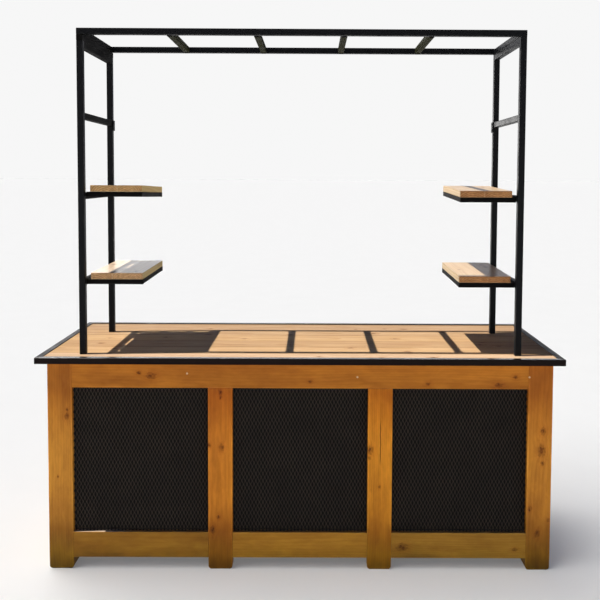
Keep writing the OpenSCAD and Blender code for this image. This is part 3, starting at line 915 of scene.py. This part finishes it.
def expanded(piece, lo, hi, normal):
    """Expanded metal just inside the face of a panel: upright zig-zag strands, tilted, that meet at short bonds."""
    d = 1 if normal[1] else 0
    h = 1 - d
    out = normal[d]
    face = lo[d] if out < 0 else hi[d]
    width, height = hi[h] - lo[h], hi[2] - lo[2]
    count = int(round(width / 0.00705))
    pitch = width / count
    half = int(round(height / 0.01475))
    step = height / half
    ribbon, thick, tilt, bond = 0.0024, 0.0011, math.radians(33), 0.0021
    reach = ribbon / 2 * math.cos(tilt) + thick / 2 * math.sin(tilt)
    amp = pitch / 2 - reach + 0.0001
    zs, turn = [], []
    for i in range(half + 1):
        for o in (-bond, bond):
            zs.append(min(max(i * step + o, 0.0), height))
            turn.append(i)
    zs, turn = np.array(zs), np.array(turn)
    corner = np.array([(-1, -1), (1, -1), (1, 1), (-1, 1)]) * (ribbon / 2, thick / 2)
    du = corner[:, 0] * math.cos(tilt) - corner[:, 1] * math.sin(tilt)
    dd = corner[:, 0] * math.sin(tilt) + corner[:, 1] * math.cos(tilt)
    deep = ribbon / 2 * math.sin(tilt) + thick / 2 * math.cos(tilt) + 0.0003
    k = np.arange(count)
    sign = np.where((k[:, None] + turn[None, :]) % 2 == 0, 1.0, -1.0)
    u = (k[:, None] + 0.5) * pitch + sign * amp
    n_st = len(zs)
    verts = np.zeros((count, n_st, 4, 3))
    verts[..., h] = lo[h] + u[:, :, None] + du
    verts[..., d] = face - out * deep + dd
    verts[..., 2] = lo[2] + zs[None, :, None]
    flat = np.stack([(u[:, :, None] + du) / width, np.broadcast_to((zs / height)[None, :, None], (count, n_st, 4))], -1)
    verts, flat = verts.reshape(-1, 3), np.clip(flat.reshape(-1, 2), 0.001, 0.999)
    quad = []
    for s in range(n_st - 1):
        if zs[s + 1] - zs[s] < 1e-6:
            continue
        for j in range(4):
            m = (j + 1) % 4
            quad.append((s * 4 + j, s * 4 + m, s * 4 + 4 + m, s * 4 + 4 + j))
    quad += [(3, 2, 1, 0), tuple((n_st - 1) * 4 + j for j in range(4))]
    quad = np.array(quad)
    if d == 0:
        quad = quad[:, ::-1]
    faces = (quad[None] + (k * n_st * 4)[:, None, None]).reshape(-1, 4)
    piece.add(verts, faces.tolist(), flat[faces.ravel()].tolist())


PANELS = [("front_left_panel", (0, -1)), ("front_centre_panel", (0, -1)), ("front_right_panel", (0, -1)),
          ("back_panels", (0, 1)), ("left_panel", (-1, 0)), ("right_panel", (1, 0))]
for node, normal in PANELS:
    parts = solids(node)
    mesh, plate = Piece(), Piece()
    for i, (lo, hi) in enumerate(parts):
        expanded(mesh, lo, hi, normal)
        d = 1 if normal[1] else 0
        a, b = lo.copy(), hi.copy()
        if normal[d] < 0:
            a[d] += 0.0075
        else:
            b[d] -= 0.0075
        loft(plate, a, b, 2, r=0.0006, seg=2, sub=3, step=0.1, ends=(0.0006, 0.0006), rows=(i / len(parts), (i + 1) / len(parts)))
    mesh.build(node + "_expanded_metal", mesh_black, [node], "mesh_panel", smooth=False)
    plate.build(node + "_backing", back_mat, [], "mesh_panel")


# ---------------------------------------------------------------- floor, light, camera

def floor_mat():
    g = Nodes("pale_floor")
    n = g.noise(g.place(), 3.0, 3.0, 0.5)
    g.put(g.bsdf.inputs["Base Color"], g.mix(g.remap(n, 0.3, 0.7), (0.855, 0.855, 0.855, 1), (0.865, 0.865, 0.865, 1)))
    g.bsdf.inputs["Roughness"].default_value = 1.0
    g.bsdf.inputs["Specular IOR Level"].default_value = 0.0
    return g.mat


me = bpy.data.meshes.new("floor")
S = 400.0
me.from_pydata([(-S, -S, 0), (S, -S, 0), (S, S, 0), (-S, S, 0)], [], [(0, 1, 2, 3)])
me.materials.append(floor_mat())
floor = bpy.data.objects.new("floor", me)
stage.objects.link(floor)

world = bpy.data.worlds.new("studio")
scene.world = world
world.use_nodes = True
t = world.node_tree
t.nodes.clear()
w_out = t.nodes.new("ShaderNodeOutputWorld")
w_mix = t.nodes.new("ShaderNodeMixShader")
w_ray = t.nodes.new("ShaderNodeLightPath")
w_see = t.nodes.new("ShaderNodeBackground")
w_see.inputs[0].default_value = (0.929, 0.929, 0.929, 1)
w_lit = t.nodes.new("ShaderNodeBackground")
w_pos = t.nodes.new("ShaderNodeTexCoord")
w_sep = t.nodes.new("ShaderNodeSeparateXYZ")
t.links.new(w_pos.outputs["Generated"], w_sep.inputs[0])


def w_map(x, a, b, c, d):
    n = t.nodes.new("ShaderNodeMapRange")
    n.interpolation_type = "SMOOTHSTEP"
    t.links.new(x, n.inputs[0])
    for sock, v in zip(n.inputs[1:5], (a, b, c, d)):
        sock.default_value = v
    return n.outputs[0]


def w_math(op, a, b):
    n = t.nodes.new("ShaderNodeMath")
    n.operation = op
    for sock, v in zip(n.inputs, (a, b)):
        if isinstance(v, float):
            sock.default_value = v
        else:
            t.links.new(v, sock)
    return n.outputs[0]


# a low band of soft light all round, strongest at the back left and weakest at the back right, under a dim cool top
w_band = w_map(w_sep.outputs[2], 0.02, 0.17, 1.0, 0.0)
w_side = w_map(w_sep.outputs[0], -0.16, 0.16, 1.0, -1.0)
w_rear = w_map(w_sep.outputs[1], -0.15, 0.15, 0.15, 0.95)
w_rear = w_math("MULTIPLY", w_rear, w_map(w_sep.outputs[2], 0.015, 0.05, 0.6, 1.0))
w_gain = w_math("ADD", 1.0, w_math("MULTIPLY", w_side, w_rear))
w_lvl = w_math("MULTIPLY", w_band, w_gain)
# and a narrow soft box behind the stall, which the top of the counter's edging mirrors
w_box = w_math("MULTIPLY", w_map(w_sep.outputs[2], 0.19, 0.22, 0.0, 1.0), w_map(w_sep.outputs[2], 0.26, 0.29, 1.0, 0.0))
w_box = w_math("MULTIPLY", w_box, w_math("MULTIPLY", w_map(w_sep.outputs[0], -0.50, -0.40, 0.0, 1.0), w_map(w_sep.outputs[0], 0.40, 0.50, 1.0, 0.0)))
w_box = w_math("MULTIPLY", w_box, w_map(w_sep.outputs[1], 0.1, 0.3, 0.0, 0.6))
w_lvl = w_math("ADD", w_lvl, w_box)
w_low = t.nodes.new("ShaderNodeMix")
w_low.data_type = "RGBA"
w_low.blend_type = "ADD"
w_low.inputs[6].default_value = (0.008, 0.027, 0.086, 1)
w_low.inputs[7].default_value = (4.2, 4.14, 4.05, 1)
w_low.clamp_factor = False
t.links.new(w_lvl, w_low.inputs[0])
t.links.new(w_low.outputs[2], w_lit.inputs[0])
t.links.new(w_ray.outputs["Is Camera Ray"], w_mix.inputs[0])
t.links.new(w_lit.outputs[0], w_mix.inputs[1])
t.links.new(w_see.outputs[0], w_mix.inputs[2])
t.links.new(w_mix.outputs[0], w_out.inputs[0])


def sun(name, travel, strength, degrees, colour, receivers):
    data = bpy.data.lights.new(name, "SUN")
    data.energy = strength
    data.angle = math.radians(degrees)
    data.color = colour
    ob = bpy.data.objects.new(name, data)
    ob.rotation_mode = "QUATERNION"
    ob.rotation_quaternion = Vector(travel).to_track_quat("-Z", "Y")
    ob.location = (-1.5, 0, 4)
    scene.collection.objects.link(ob)
    ob.light_linking.receiver_collection = receivers
    return ob


sun("key", (0.3725, 0.028, -1.0), 4.65, 0.35, (1.0, 0.955, 0.90), stall)
sun("floor_wash", (0.71, -0.15, -0.70), 3.89, 95, (1.014, 0.980, 0.905), stage)
fill = sun("floor_fill", (0.0, 0.0, -1.0), 0.475, 20, (0.95, 1.0, 1.055), stage)
fill.light_linking.blocker_collection = stage

cam_data = bpy.data.cameras.new("camera")
cam_data.sensor_width = 36.0
cam_data.lens = 752.1 / 600 * 36
cam_data.shift_x = (300 - 315.27) / 600
cam_data.shift_y = -(300 - 216) / 600
cam = bpy.data.objects.new("camera", cam_data)
cam.matrix_world = (Matrix.Translation((0.0482, -3.2602, 1.5742)) @ Matrix.Rotation(-0.0026, 4, "Z")
                    @ Matrix.Rotation(math.pi / 2 - 0.0517, 4, "X") @ Matrix.Rotation(0.0048, 4, "Z"))
scene.collection.objects.link(cam)
scene.camera = cam
scene.view_settings.view_transform = "Standard"
